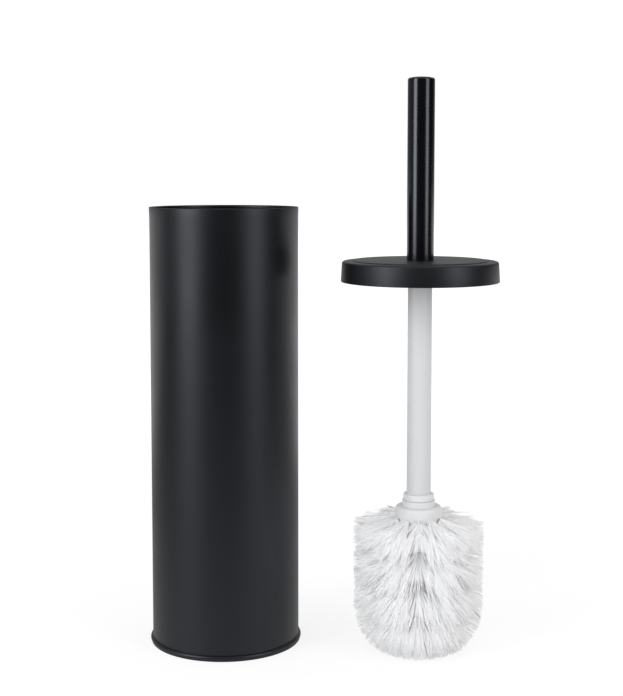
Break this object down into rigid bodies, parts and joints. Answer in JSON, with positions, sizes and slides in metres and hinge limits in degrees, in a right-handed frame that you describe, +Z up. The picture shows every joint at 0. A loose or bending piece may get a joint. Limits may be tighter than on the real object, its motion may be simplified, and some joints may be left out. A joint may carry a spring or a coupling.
{
  "type": "toilet brush holder",
  "caption": "Tall round black toilet brush holder, with its lidded brush standing beside it: black handle, white stem and white tufted head.",
  "frame": {"origin": "on the floor, under the middle of the whole object's bounding box", "axes": "+Z up, +X from the can towards the brush, +Y towards the back; the brush stands slightly nearer the front"},
  "size_m": [0.2108, 0.116, 0.3435],
  "materials": {
    "black_lacquer": "satin",
    "lid_lacquer": "satin",
    "handle_lacquer": "gloss",
    "cap_plastic": "satin",
    "cup_plastic": "satin",
    "soft_ring": "matte",
    "stud_steel": "satin",
    "stem_plastic": "satin",
    "hub_plastic": "satin",
    "bristle": "matte",
    "anchor_wire": "satin"
  },
  "bodies": {
    "holder": {"holder_shell": "black_lacquer", "base_pan": "black_lacquer", "foot_ring": "soft_ring"},
    "cup": {"drip_cup": "cup_plastic"},
    "brush": {"handle_tube": "handle_lacquer", "handle_cap": "cap_plastic", "handle_insert": "cup_plastic", "joining_stud": "stud_steel", "lid": "lid_lacquer", "lid_washer": "soft_ring", "stem_tube": "stem_plastic", "stem_plug": "stem_plastic", "stem_collar": "hub_plastic"},
    "brush_head": {"head_hub": "hub_plastic", "bristle_row_1": "bristle", "bristle_row_2": "bristle", "bristle_row_3": "bristle", "bristle_row_4": "bristle", "bristle_end_tufts": "bristle", "tuft_anchors": "anchor_wire"}
  },
  "joints": [
    {"name": "brush_lift", "type": "slide", "parent": "holder", "child": "brush", "axis": [0, 0, 1], "range_m": [0, 0.275]},
    {"name": "drip_cup_lift", "type": "slide", "parent": "holder", "child": "cup", "axis": [0, 0, 1], "range_m": [0, 0.27]},
    {"name": "head_unscrew", "type": "hinge", "parent": "brush", "child": "brush_head", "pos_m": [0.0584, -0.011, 0.0923], "axis": [0, 0, -1], "range_deg": [0, 900]}
  ]
}
